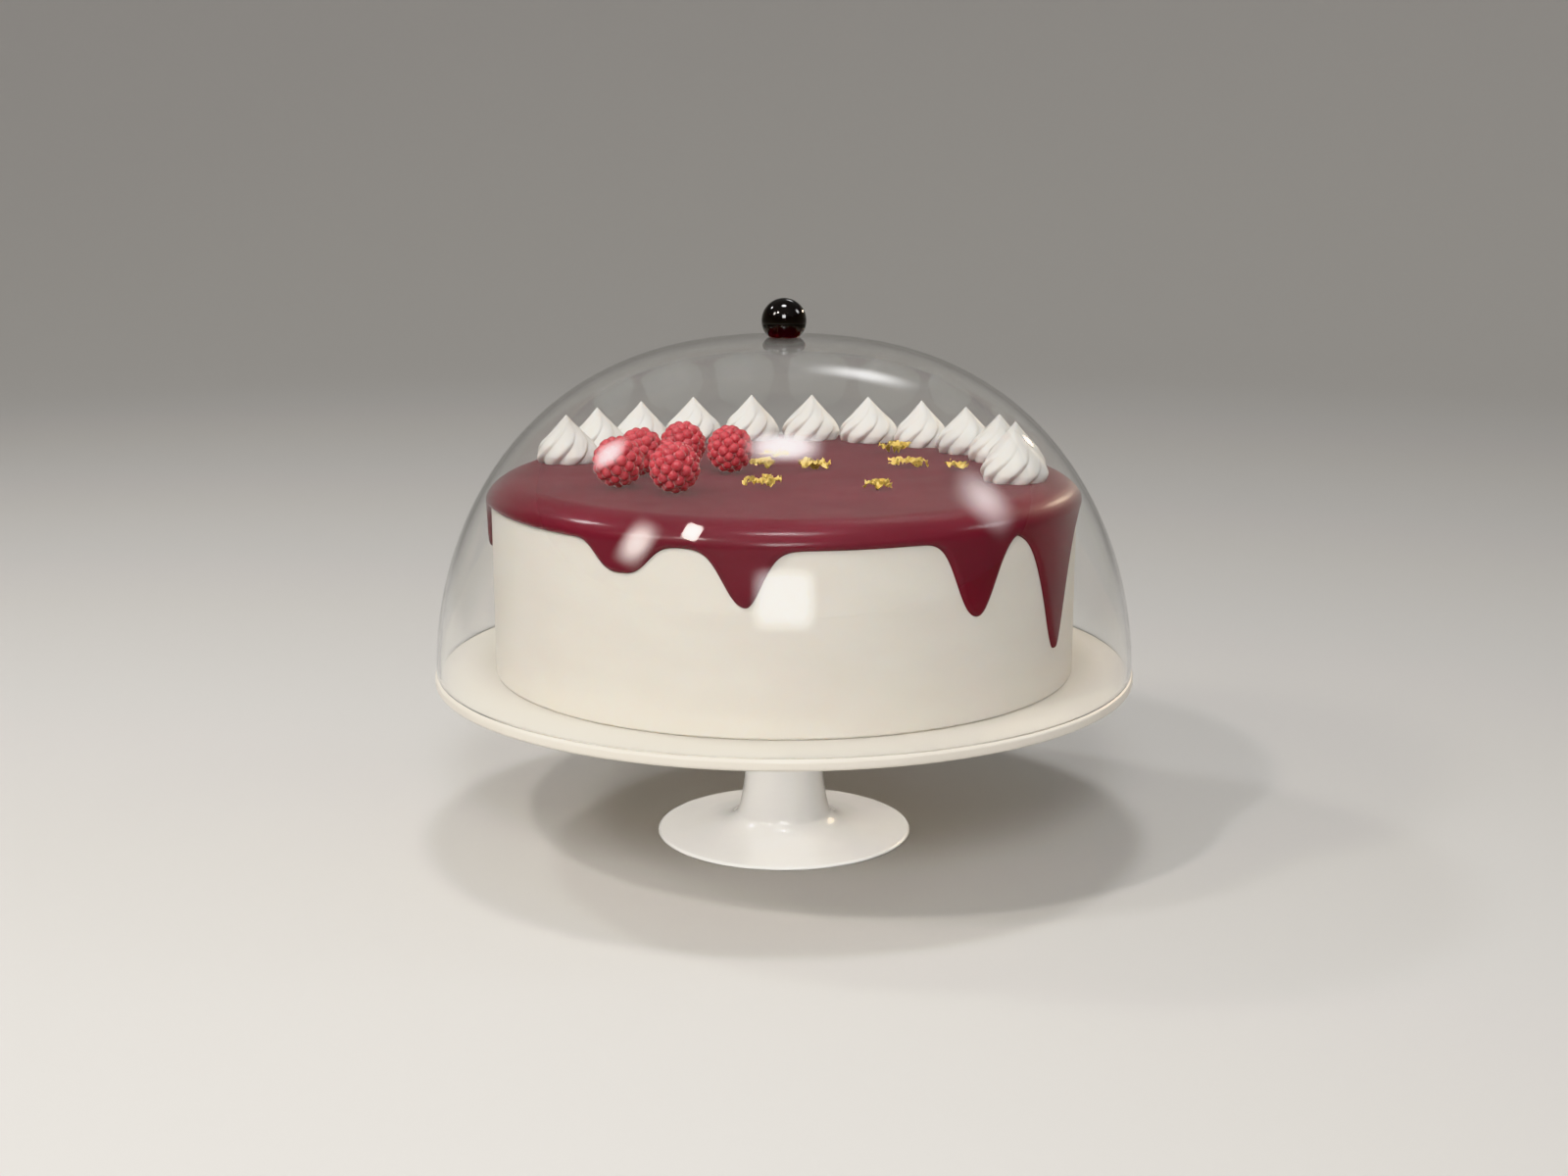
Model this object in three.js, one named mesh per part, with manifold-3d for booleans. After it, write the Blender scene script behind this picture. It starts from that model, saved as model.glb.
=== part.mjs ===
// Glazed cake under a clear glass cover, on the low ceramic stand that it is served from.
// Millimetres, +Z up. The origin is the centre of the foot's underside and the front faces -Y.
// Azimuths are degrees about +Z, counted from +X, so the front is -90.

import * as THREE from 'three';
import { ConvexGeometry } from 'three/addons/geometries/ConvexGeometry.js';
import { mergeVertices } from 'three/addons/utils/BufferGeometryUtils.js';
import Module from 'manifold-3d';

// ---------------------------------------------------------------- driving dimensions

const STAND = {
  footRadius: 50,
  footRim: 1.2, // height of the foot's thin outer edge
  footDraft: 0.4, // how far that edge leans in towards its top
  plateRadius: 135,
  plateBottom: 65,
  plateTop: 69,
  plateRound: 1.2, // radius along the plate's edge
};

// Radius and height of the stem's surface, from the foot's shallow flare to the plate.
const STEM_PROFILE = [
  [42, 1.6], [34, 2.2], [27, 3.2], [22.5, 4.6], [19.5, 6.6], [18, 9], [16.6, 15],
  [15.3, 24], [14.2, 42], [15, 54], [17.5, 61],
];
const STEM_TOP_RADIUS = 22;

const COVER = {
  radius: 134.4, // outside, at the rim
  height: 126.5,
  glass: 2.3, // wall
  radialPower: 2.469, // how full the bell's shoulder is
  verticalPower: 1.951,
};

const KNOB = { radius: 8.6, centreAboveCover: 6 };

const CAKE = {
  radius: 111.7,
  top: 142.1,
  bottomRound: 1.5,
  shoulderWidth: 13.2, // the rounded top edge is a quarter ellipse
  shoulderHeight: 6.8,
};

const GLAZE = {
  radius: 113.3,
  top: 144,
  shoulderWidth: 14,
  shoulderHeight: 8.5,
  clearance: 0.3, // between the glaze's inside and the cake
  edge: 135.35, // height of the lower edge where nothing drips
  lip: 0.45, // height over which the lower edge rounds in
};

// Drips that show from the front: azimuth of the tip, how far it hangs, and for its left and right
// sides the angle over which it fades and how square that side is.
const FRONT_DRIPS = [
  { azimuth: -177, drop: 19, left: [6, 2.2], right: [6, 2.2] },
  { azimuth: -119.7, drop: 10.4, left: [6.3, 3.4], right: [6.2, 3] },
  { azimuth: -96.6, drop: 19.6, left: [5.2, 2.35], right: [3.9, 1.9] },
  { azimuth: -53.2, drop: 27.4, left: [5.8, 2.5], right: [5.6, 2.05] },
  { azimuth: -28.6, drop: 47.6, left: [7, 1.7], right: [6.2, 1.4] },
];
// The drips round the back follow one rule: even places, with a seeded shift, length and width.
const BACK_DRIPS = { count: 6, from: 8, to: 158, shift: 7, drop: [9, 40], fade: [4.6, 6.6] };
const BACK_DRIP_POWER = 2.2; // how square the back drips' sides are
const TIP_ROUNDING = 1.1; // degrees over which a tip is blunt
const DRIP_BLEND = 4; // how sharply one drip's side meets the next one's

const SWIRLS = {
  count: 12,
  ringRadius: 89,
  ringCentre: 1.5, // the ring's centre lies this far behind the cake's
  firstAzimuth: 164.5,
  lastAzimuth: -15.5,
  radius: 12.45,
  height: 18.8,
  lobes: 8,
  valley: 0.16, // depth of the grooves, as a share of the radius
  twist: 95, // degrees from base to tip
};
// A swirl's outline: share of its height, share of its radius.
const SWIRL_PROFILE = [[0, 0.93], [0.2, 1], [0.4, 0.85], [0.6, 0.56], [0.8, 0.27]];

// Berries: centre, widest diameter and height.
const BERRIES = [
  { at: [-60.5, -39], diameter: 19.6, height: 19.4 },
  { at: [-39.5, -50.6], diameter: 19.6, height: 19.4 },
  { at: [-54.2, -11.5], diameter: 18.4, height: 18.8 },
  { at: [-38.8, 3.6], diameter: 18.4, height: 19.2 },
  { at: [-20.6, -5.2], diameter: 18.6, height: 18.8 },
];
const DRUPELETS = 72;
const DRUPELET_RELIEF = 0.85;
const DRUPELET_JITTER = 0.25; // radians by which a bead may lie off its even place
const BERRY_FLAT = 0.8; // share of the way down from which a berry's underside is flat

// Gold leaf: centre, length, width, height and the azimuth that its length lies along.
const FLAKES = [
  { at: [-7.8, -41.5], size: [14, 7, 4.6], azimuth: 8 },
  { at: [-8.6, 8], size: [12, 6, 3.4], azimuth: -12 },
  { at: [-3, 36], size: [12, 5.5, 2], azimuth: 4 },
  { at: [11.4, 3.5], size: [14, 6, 4], azimuth: -18 },
  { at: [34.3, -44], size: [12.5, 6, 3.8], azimuth: 10 },
  { at: [47.9, 8.5], size: [17, 6.5, 4], azimuth: -6 },
  { at: [44, 44], size: [16, 7, 4.6], azimuth: 14 },
  { at: [66.5, 2], size: [10, 5.5, 3.4], azimuth: -20 },
];
const FLAKE_SUNK = 0.6; // how far a flake reaches into the glaze
const FLAKE_FOLDS = 4; // lengthwise steps, each second one folded up
const FLAKE_SHAPE = {
  hollow: 0.4, // height between two folds, as a share of a fold's
  side: 0.55, // height along the long sides, as a share of the middle's
  taper: 0.5, // share of the width that is lost towards the ends
  ragged: [0.78, 1.05], // share of its length and width that a corner reaches
  uneven: [0.7, 1], // share of its height that a corner reaches
};

// Steps round each turned piece, and up its curves.
const SEGMENTS = { cover: 56, plate: 54, cake: 66, glaze: 136, stem: 34, knob: 20 };
const CURVE_STEPS = { cover: 13, plateEdge: 3, shoulder: 4, underGlaze: 3, knob: 8 };
const SEED = 20417;

const PALETTE = {
  plate: { color: 0xe8e0d2, roughness: 0.35, metalness: 0 },
  pedestal: { color: 0xded9d3, roughness: 0.15, metalness: 0 },
  cake: { color: 0xe2d8ca, roughness: 0.6, metalness: 0 },
  glaze: { color: 0x6e1428, roughness: 0.08, metalness: 0 },
  swirl: { color: 0xebe6de, roughness: 0.55, metalness: 0 },
  berry: { color: 0xc83246, roughness: 0.3, metalness: 0 },
  cover: { color: 0xe4ebea, roughness: 0.02, metalness: 0, transparent: true, opacity: 0.2 },
  knob: { color: 0x0c0b0b, roughness: 0.06, metalness: 0 },
};

// ---------------------------------------------------------------- helpers

const wasm = await Module();
wasm.setup();

const radians = (degrees) => THREE.MathUtils.degToRad(degrees);
const mix = (low, high, share) => low + (high - low) * share;

/** Repeatable random numbers from 0 to 1. */
function seededRandom(seed) {
  let state = seed;
  return () => {
    state = (state + 0x6d2b79f5) | 0;
    let t = Math.imul(state ^ (state >>> 15), 1 | state);
    t = (t + Math.imul(t ^ (t >>> 7), 61 | t)) ^ t;
    return ((t ^ (t >>> 14)) >>> 0) / 4294967296;
  };
}

/** Points along a quarter ellipse, from its outermost point up to its top. */
function quarterEllipse(centreRadius, centreHeight, width, height, steps) {
  return Array.from({ length: steps + 1 }, (_, i) => {
    const angle = (Math.PI / 2) * (i / steps);
    return [centreRadius + width * Math.cos(angle), centreHeight + height * Math.sin(angle)];
  });
}

/** A body turned about +Z from [radius, height] points that run upwards outside and end on the axis. */
function turned(points, segments) {
  const profile = points.map(([radius, height]) => new THREE.Vector2(radius, height));
  return new THREE.LatheGeometry(profile, segments).rotateX(Math.PI / 2);
}

/** Keeps only the positions, with shared corners merged. */
function positionsOnly(geometry) {
  geometry.deleteAttribute('normal');
  geometry.deleteAttribute('uv');
  return mergeVertices(geometry, 1e-4);
}

/** Moves each vertex to where shape(x, y, z) puts it. */
function reshaped(geometry, shape) {
  const plain = positionsOnly(geometry);
  const position = plain.getAttribute('position');
  for (let i = 0; i < position.count; i += 1) {
    position.setXYZ(i, ...shape(position.getX(i), position.getY(i), position.getZ(i)));
  }
  return plain;
}

function solidOf(geometry) {
  const plain = positionsOnly(geometry);
  return new wasm.Manifold(new wasm.Mesh({
    numProp: 3,
    vertProperties: Float32Array.from(plain.getAttribute('position').array),
    triVerts: Uint32Array.from(plain.getIndex().array),
  }));
}

function geometryOf(solid) {
  const { vertProperties, triVerts } = solid.getMesh();
  const geometry = new THREE.BufferGeometry();
  geometry.setAttribute('position', new THREE.BufferAttribute(vertProperties, 3));
  geometry.setIndex(new THREE.BufferAttribute(triVerts, 1));
  return geometry;
}

function piece(name, geometry, look) {
  const mesh = new THREE.Mesh(geometry, new THREE.MeshStandardMaterial(look));
  mesh.name = name;
  return mesh;
}

// ---------------------------------------------------------------- stand

function makePedestal() {
  const { footRadius, footRim, footDraft, plateBottom } = STAND;
  const points = [
    [0, 0],
    [footRadius, 0],
    [footRadius - footDraft, footRim],
    ...STEM_PROFILE,
    [STEM_TOP_RADIUS, plateBottom],
    [0, plateBottom],
  ];
  return piece('pedestal', turned(points, SEGMENTS.stem), PALETTE.pedestal);
}

function makePlate() {
  const { plateRadius, plateBottom, plateTop, plateRound } = STAND;
  const flat = plateRadius - plateRound;
  const upper = quarterEllipse(
    flat, plateTop - plateRound, plateRound, plateRound, CURVE_STEPS.plateEdge,
  );
  const lower = upper.map(([radius, height]) => [radius, plateBottom + plateTop - height]).reverse();
  const points = [[0, plateBottom], ...lower, ...upper, [0, plateTop]];
  return piece('plate', turned(points, SEGMENTS.plate), PALETTE.plate);
}

// ---------------------------------------------------------------- cake

function makeCake() {
  const { radius, top, bottomRound, shoulderWidth, shoulderHeight } = CAKE;
  const floor = STAND.plateTop;
  const shoulder = quarterEllipse(
    radius - shoulderWidth, top - shoulderHeight, shoulderWidth, shoulderHeight, CURVE_STEPS.shoulder,
  );
  const points = [
    [0, floor],
    [radius - bottomRound, floor],
    [radius, floor + bottomRound],
    ...shoulder,
    [0, top],
  ];
  return piece('cake', turned(points, SEGMENTS.cake), PALETTE.cake);
}

/** The back drips, by their rule. */
function backDrips() {
  const random = seededRandom(SEED);
  const { count, from, to, shift, drop, fade } = BACK_DRIPS;
  return Array.from({ length: count }, (_, i) => ({
    azimuth: mix(from, to, i / (count - 1)) + shift * (2 * random() - 1),
    drop: mix(drop[0], drop[1], random()),
    left: [mix(fade[0], fade[1], random()), BACK_DRIP_POWER],
    right: [mix(fade[0], fade[1], random()), BACK_DRIP_POWER],
  }));
}

const DRIPS = [...FRONT_DRIPS, ...backDrips()];

/** How far below its plain lower edge the glaze hangs at an azimuth. */
function dropAt(azimuth) {
  const drops = DRIPS.map(({ azimuth: tip, drop, left, right }) => {
    const offset = ((azimuth - tip + 540) % 360) - 180;
    const [fade, power] = offset < 0 ? left : right;
    const away = Math.hypot(offset, TIP_ROUNDING) ** power - TIP_ROUNDING ** power;
    return drop * Math.exp(-away / fade ** power);
  });
  return drops.reduce((sum, drop) => sum + drop ** DRIP_BLEND, 0) ** (1 / DRIP_BLEND);
}

/** One crumpled flake, lying on the glaze and sunk a little into it. */
function flakeSolid({ at, size, azimuth }, random) {
  const [length, width, height] = size;
  const { hollow, side, taper, ragged, uneven } = FLAKE_SHAPE;
  const box = new THREE.BoxGeometry(length, width, 1, FLAKE_FOLDS, 2, 1);
  const crumpled = reshaped(box, (x, y, z) => {
    const step = Math.round((x / length + 0.5) * FLAKE_FOLDS);
    const ridge = step % 2 === 1 ? 1 : hollow;
    const alongMiddle = Math.abs(y) < width / 4;
    const narrowed = 1 - taper * (2 * Math.abs(x) / length) ** 2;
    const reach = mix(...ragged, random());
    const lift = mix(...uneven, random()) * height * ridge * (alongMiddle ? 1 : side);
    return [x * reach, y * narrowed * reach, z > 0 ? lift : -FLAKE_SUNK];
  });
  crumpled.rotateZ(radians(azimuth)).translate(at[0], at[1], GLAZE.top);
  return solidOf(crumpled);
}

function makeGlaze() {
  const { radius, top, shoulderWidth, shoulderHeight, clearance, edge, lip } = GLAZE;
  const outer = quarterEllipse(
    radius - shoulderWidth, top - shoulderHeight, shoulderWidth, shoulderHeight, CURVE_STEPS.shoulder,
  );
  const inner = quarterEllipse(
    CAKE.radius - CAKE.shoulderWidth + clearance, CAKE.top - CAKE.shoulderHeight + clearance,
    CAKE.shoulderWidth, CAKE.shoulderHeight, CURVE_STEPS.underGlaze,
  );
  const insideRadius = CAKE.radius + clearance;
  const lowest = edge - lip;
  const hem = [[insideRadius, lowest + lip / 2], [radius - lip, lowest], [radius, edge]];
  const points = [[0, CAKE.top + clearance], ...inner.reverse(), ...hem, ...outer, [0, top]];
  const hemTop = (edge + top - shoulderHeight) / 2; // what is lower than this hangs with the drips
  const skin = reshaped(turned(points, SEGMENTS.glaze), (x, y, z) => {
    const hangs = z < hemTop;
    return [x, y, hangs ? z - dropAt(THREE.MathUtils.radToDeg(Math.atan2(y, x))) : z];
  });
  const random = seededRandom(SEED + 1);
  const glazed = FLAKES.reduce(
    (solid, flake) => solid.add(flakeSolid(flake, random)), solidOf(skin),
  );
  return piece('glaze', geometryOf(glazed), PALETTE.glaze);
}

// ---------------------------------------------------------------- toppings

function swirlGeometry() {
  const { radius, height, lobes, valley, twist } = SWIRLS;
  const rings = SWIRL_PROFILE.map(([rise, share]) => [radius * share, height * rise]);
  const plain = turned([[0, 0], ...rings, [0, height]], 2 * lobes);
  return reshaped(plain, (x, y, z) => {
    const reach = Math.hypot(x, y);
    const angle = Math.atan2(y, x);
    const groove = 1 - valley * (0.5 - 0.5 * Math.cos(lobes * angle));
    const turn = angle + radians(twist) * (z / height);
    return [reach * groove * Math.cos(turn), reach * groove * Math.sin(turn), z];
  });
}

function makeSwirls() {
  const { count, ringRadius, ringCentre, firstAzimuth, lastAzimuth } = SWIRLS;
  return Array.from({ length: count }, (_, i) => {
    const azimuth = radians(mix(firstAzimuth, lastAzimuth, i / (count - 1)));
    const swirl = piece(`swirl_${String(i + 1).padStart(2, '0')}`, swirlGeometry(), PALETTE.swirl);
    swirl.position.set(
      ringRadius * Math.cos(azimuth), ringCentre + ringRadius * Math.sin(azimuth), GLAZE.top,
    );
    swirl.rotation.z = azimuth;
    return swirl;
  });
}

/** A berry of small round beads: each bead is a blunt pyramid, with the joins between them sunk. */
function berryGeometry(diameter, height, seed) {
  const random = seededRandom(seed);
  const golden = Math.PI * (3 - Math.sqrt(5));
  const centres = Array.from({ length: DRUPELETS }, (_, i) => {
    const z = 1 - (2 * (i + 0.5)) / DRUPELETS;
    const across = Math.sqrt(1 - z * z);
    const angle = i * golden + DRUPELET_JITTER * random();
    return new THREE.Vector3(across * Math.cos(angle), across * Math.sin(angle), z);
  });
  const hull = positionsOnly(new ConvexGeometry(centres));
  const unit = hull.getAttribute('position');
  const index = hull.getIndex().array;
  const place = (direction, relief) => {
    const low = direction.z < -BERRY_FLAT;
    const radius = diameter / 2 - relief;
    return [
      direction.x * radius,
      direction.y * radius,
      low ? 0 : Math.max(0, height / 2 + direction.z * (height / 2 - relief)),
    ];
  };
  const positions = [];
  for (let i = 0; i < unit.count; i += 1) {
    positions.push(...place(new THREE.Vector3().fromBufferAttribute(unit, i), 0));
  }
  const joins = new Map();
  for (let face = 0; face < index.length; face += 3) {
    const corners = [index[face], index[face + 1], index[face + 2]];
    const middle = new THREE.Vector3();
    corners.forEach((corner) => {
      middle.add(new THREE.Vector3().fromBufferAttribute(unit, corner));
    });
    const join = positions.length / 3;
    positions.push(...place(middle.normalize(), DRUPELET_RELIEF));
    corners.forEach((corner, k) => joins.set(`${corner}-${corners[(k + 1) % 3]}`, join));
  }
  const triangles = [];
  joins.forEach((join, edgeName) => {
    const [from, to] = edgeName.split('-').map(Number);
    triangles.push(from, joins.get(`${to}-${from}`), join);
  });
  const geometry = new THREE.BufferGeometry();
  geometry.setAttribute('position', new THREE.Float32BufferAttribute(positions, 3));
  geometry.setIndex(triangles);
  return geometry;
}

function makeBerries() {
  return BERRIES.map(({ at, diameter, height }, i) => {
    const berry = piece(`berry_${i + 1}`, berryGeometry(diameter, height, SEED + 10 + i), PALETTE.berry);
    berry.position.set(at[0], at[1], GLAZE.top);
    return berry;
  });
}

// ---------------------------------------------------------------- cover

/** The bell's curve from its rim to the axis, for an outer or inner radius and height. */
function bellCurve(radius, height, steps) {
  return Array.from({ length: steps + 1 }, (_, i) => {
    const angle = (Math.PI / 2) * (i / steps);
    const reach = i === steps ? 0 : Math.cos(angle) ** (2 / COVER.radialPower);
    return [radius * reach, STAND.plateTop + height * Math.sin(angle) ** (2 / COVER.verticalPower)];
  });
}

function makeDome() {
  const { radius, height, glass } = COVER;
  const inside = bellCurve(radius - glass, height - glass, CURVE_STEPS.cover).reverse();
  const outside = bellCurve(radius, height, CURVE_STEPS.cover);
  return piece('dome', turned([...inside, ...outside], SEGMENTS.cover), PALETTE.cover);
}

function makeKnob() {
  const seat = STAND.plateTop + COVER.height;
  const centre = seat + KNOB.centreAboveCover;
  const start = Math.asin(-KNOB.centreAboveCover / KNOB.radius);
  const steps = CURVE_STEPS.knob;
  const ball = Array.from({ length: steps + 1 }, (_, i) => {
    const angle = mix(start, Math.PI / 2, i / steps);
    return [i === steps ? 0 : KNOB.radius * Math.cos(angle), centre + KNOB.radius * Math.sin(angle)];
  });
  ball[0][1] = seat;
  return piece('knob', turned([[0, seat], ...ball], SEGMENTS.knob), PALETTE.knob);
}

// ---------------------------------------------------------------- the whole

const glazedCakeOnStand = new THREE.Group();
glazedCakeOnStand.add(
  makePedestal(),
  makePlate(),
  makeCake(),
  makeGlaze(),
  ...makeSwirls(),
  ...makeBerries(),
  makeDome(),
  makeKnob(),
);

export default glazedCakeOnStand;
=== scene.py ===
"""Finish of a glazed cake under a clear glass cover, on the low ceramic stand that it is served from.

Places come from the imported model, in metres. Sizes written here are millimetres, turned into metres by MM.
Azimuths are degrees about +Z, counted from +X, so the front of the cake is at -90.
"""
import math
import random

import bmesh
import bpy
from mathutils import Matrix, Vector, noise
from mathutils.kdtree import KDTree


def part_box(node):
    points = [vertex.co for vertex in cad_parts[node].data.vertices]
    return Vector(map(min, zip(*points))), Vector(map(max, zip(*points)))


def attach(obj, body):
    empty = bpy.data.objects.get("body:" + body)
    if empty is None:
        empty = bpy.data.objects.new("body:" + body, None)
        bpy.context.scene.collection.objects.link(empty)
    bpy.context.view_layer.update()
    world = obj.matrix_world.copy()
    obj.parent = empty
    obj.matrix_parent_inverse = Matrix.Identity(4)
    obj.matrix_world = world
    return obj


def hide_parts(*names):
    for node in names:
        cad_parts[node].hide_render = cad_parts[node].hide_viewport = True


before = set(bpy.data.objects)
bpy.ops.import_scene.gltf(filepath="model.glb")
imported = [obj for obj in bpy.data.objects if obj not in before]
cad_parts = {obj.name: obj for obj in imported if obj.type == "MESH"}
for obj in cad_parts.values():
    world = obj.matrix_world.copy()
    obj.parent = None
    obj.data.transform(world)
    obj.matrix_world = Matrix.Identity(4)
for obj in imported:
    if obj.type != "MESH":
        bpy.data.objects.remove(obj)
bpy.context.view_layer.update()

MM = 0.001

# ---------------------------------------------------------------- sizes, in millimetres

STEM_OUTLINE = [
    (42, 1.6), (34, 2.2), (27, 3.2), (22.5, 4.6), (19.5, 6.6), (18, 9), (16.6, 15),
    (15.3, 24), (14.2, 42), (15, 54), (17.5, 61), (22, 65),
]
FOOT_RIM = 1.2  # height of the foot's thin outer edge
FOOT_ROUND = 0.45
FOOT_RECESS = (44, 0.6)  # the underside stands on a ring: radius inside it, and depth
FOOT_RECESS_SLOPE = 1
PLATE_ROUND = 1.2
PLATE_RINGS = (0.9, 0.6, 0.3, 0)  # where the flat faces are divided, as shares of their radius

COVER_GLASS = 1.6  # wall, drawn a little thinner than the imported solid's
COVER_RADIAL_POWER = 2.469
COVER_VERTICAL_POWER = 1.951
COVER_STEPS = 72
RIM_STEPS = 8
KNOB_STEPS = 40

FROSTING_TOP = 142.1
FROSTING_SHOULDER = (13.2, 6.8)  # width and height of the rounded top edge
FROSTING_BOTTOM_ROUND = 1.5
FROSTING_ROWS = 26
TROWEL_DEPTH = 0.1  # unevenness left by the smoothing blade
TROWEL_WAVE = (42, 42, 14)  # its size round the cake and up the side

GLAZE_RADIUS = 113.3
GLAZE_SHOULDER = (14, 8.5)
GLAZE_EDGE = 134.9  # height of the lower edge where nothing drips
GLAZE_BEAD = 2.3  # width over which the edge rounds down to the frosting
GLAZE_SUNK = 0.3  # how far the glaze's inside lies in the frosting

# Azimuth of the tip, drop, and for the left and right sides the angle over which the drip fades and
# how square that side is.
FRONT_DRIPS = [
    (-177, 19, (6, 2.2), (6, 2.2)),
    (-119.7, 10.4, (6.3, 3.4), (6.2, 3)),
    (-96.6, 19.6, (5.2, 2.35), (3.9, 1.9)),
    (-53.2, 27.4, (5.8, 2.5), (5.6, 2.05)),
    (-28.6, 47.6, (7, 1.7), (6.2, 1.4)),
]
BACK_DRIPS = {"count": 6, "from": 8, "to": 158, "shift": 7, "drop": (9, 40), "fade": (4.6, 6.6)}
BACK_DRIP_POWER = 2.2
TIP_ROUNDING = 1.1
DRIP_BLEND = 4  # how sharply one drip's side meets the next one's
DRIP_SEED = 20417

# The sheet that the glaze is wrapped from: rows from the centre down to the edge, and columns round it.
TOP_ROWS = (0, 0.2, 0.4, 0.6, 0.75, 0.87, 0.95, 1)
SHOULDER_ROWS = 16
SIDE_ROWS = 9
BEAD_ROWS = (1, 0.8, 0.62, 0.46, 0.32, 0.2, 0.1, 0.03, 0)  # share of the bead's width from the edge
BEAD_SHARE = 0.45  # the bead takes up no more than this share of the way down
SHOULDER_SHARE = 0.8  # and the shoulder's rows no more than this share of what is above the bead
GLAZE_COLUMNS = 900
CROWD_STEPS = 10  # for each degree
CROWDING = ((3, 2.2), (2, 6))  # extra columns at a tip, and the angle over which they thin out
PATH_STEPS = 200
EDGE_SAMPLES = 20  # for each degree, where the distance to the drips' edge is measured

SWIRL_COUNT = 12
SWIRL_FIRST, SWIRL_LAST = 164.5, -15.5  # azimuths of the two ends of the half ring
SWIRL_LOBES = 8
SWIRL_VALLEY = 0.17  # depth of the grooves at the base, as a share of the radius
SWIRL_CREST = 0.72  # where a lobe stands highest, as a share of the way to the next groove
SWIRL_FULLNESS = (0.9, 0.8)  # powers that round a lobe before and after its crest: the lower, the fuller
SWIRL_TWIST = 95
SWIRL_TWIST_SPREAD = 7
SWIRL_LEAN = 0.5  # how far the tip may stand off centre, each way
SWIRL_VALLEY_SPREAD = (0.92, 1.08)
SWIRL_VALLEY_FADE = 1.3  # how soon the grooves fade towards the tip
SWIRL_WAVER = (0.03, 5)  # share of the radius by which the outline wavers, and the size of the waves
SWIRL_STILL = 3  # the waver dies out over this distance from the axis
SWIRL_SEED = 31
# Share of the height, share of the radius.
SWIRL_OUTLINE = [(0, 0.93), (0.08, 0.985), (0.2, 1), (0.4, 0.85), (0.6, 0.56), (0.8, 0.27), (1, 0)]

BERRY_COUNT = 5
BERRY_CORE = 0.5  # how far the core reaches past the beads' centres
BERRY_SEED = 70
BEADS = 58
BEAD_RADIUS = 2.3
BEAD_SPREAD = (0.93, 1.04)  # smallest and largest bead, as a share of the radius
BEAD_LEVEL_SPREAD = 0.012  # how far a bead may sit off its level and its turn
BEAD_TURN_SPREAD = 0.07
BEAD_TURN_RING = 0.3  # rings smaller than this share don't turn their beads any further

# Gold leaf: centre, (length, width, height) and the azimuth that its length lies along.
FLAKES = [
    ((-7.8, -41.5), (14, 7, 4.6), 8),
    ((-8.6, 8), (12, 6, 3.4), -12),
    ((-3, 36), (12, 5.5, 2), 4),
    ((11.4, 3.5), (14, 6, 4), -18),
    ((34.3, -44), (12.5, 6, 3.8), 10),
    ((47.9, 8.5), (17, 6.5, 4), -6),
    ((44, 44), (16, 7, 4.6), 14),
    ((66.5, 2), (10, 5.5, 3.4), -20),
]
LEAF_THICKNESS = 0.06
LEAF_GRID = (26, 13)
LEAF_SHIFT = Vector((7.3, 3.1, 0))  # from one flake's part of the noise to the next one's
LEAF_TEAR = (0.95, 0.45, 2.6, 1.6)  # reach of the torn edge, its depth, and how often it turns each way
LEAF_FOLDS = (3.6, 2.4, 0.42)  # size of the folds, how sharp they are and their share of the height
LEAF_CREASES = (1.7, 2.2, 0.34)
LEAF_BASE = 0.12  # share of the height where there is no fold, and how much the far side stands higher
LEAF_RISE = 0.18
LEAF_LIFT = (0.05, 1.15)  # lowest and highest place, as shares of the height
LEAF_SWAY = (3.4, 2)  # size of the sideways bends, and how far they go

# ---------------------------------------------------------------- places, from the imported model


def corners(node):
    """The node's lowest and highest corner, in millimetres."""
    low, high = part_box(node)
    return Vector(low) / MM, Vector(high) / MM


def seat(node):
    """The middle of the round node's base, its mean radius and its height."""
    low, high = corners(node)
    centre = Vector(((low.x + high.x) / 2, (low.y + high.y) / 2, low.z))
    return centre, (high.x - low.x + high.y - low.y) / 4, high.z - low.z


PLATE_LOW, PLATE_HIGH = corners("plate")
PLATE_RADIUS = PLATE_HIGH.y
PLATE_TOP = PLATE_HIGH.z
FOOT_RADIUS = corners("pedestal")[1].y
FROSTING_RADIUS = corners("cake")[1].y
COVER_LOW, COVER_HIGH = corners("dome")
KNOB_LOW, KNOB_HIGH = corners("knob")
GLAZE_TOP = corners("swirl_01")[0].z

# ---------------------------------------------------------------- shapes


def mix(low, high, share):
    return low + (high - low) * share


def quarter_ellipse(centre_radius, centre_height, width, height, steps):
    """(radius, height) points from the outermost point of a quarter ellipse up to its top."""
    angles = [math.pi / 2 * i / steps for i in range(steps + 1)]
    return [(centre_radius + width * math.cos(a), centre_height + height * math.sin(a)) for a in angles]


def smooth_through(points, steps):
    """A smooth curve through the points, with so many steps between each two."""
    ends = [points[0], *points, points[-1]]
    curve = []
    for p0, p1, p2, p3 in zip(ends, ends[1:], ends[2:], ends[3:]):
        for i in range(steps):
            t = i / steps
            curve.append(tuple(
                0.5 * (2 * b + (c - a) * t + (2 * a - 5 * b + 4 * c - d) * t ** 2
                       + (3 * b - a - 3 * c + d) * t ** 3)
                for a, b, c, d in zip(p0, p1, p2, p3)
            ))
    return curve + [points[-1]]


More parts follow.
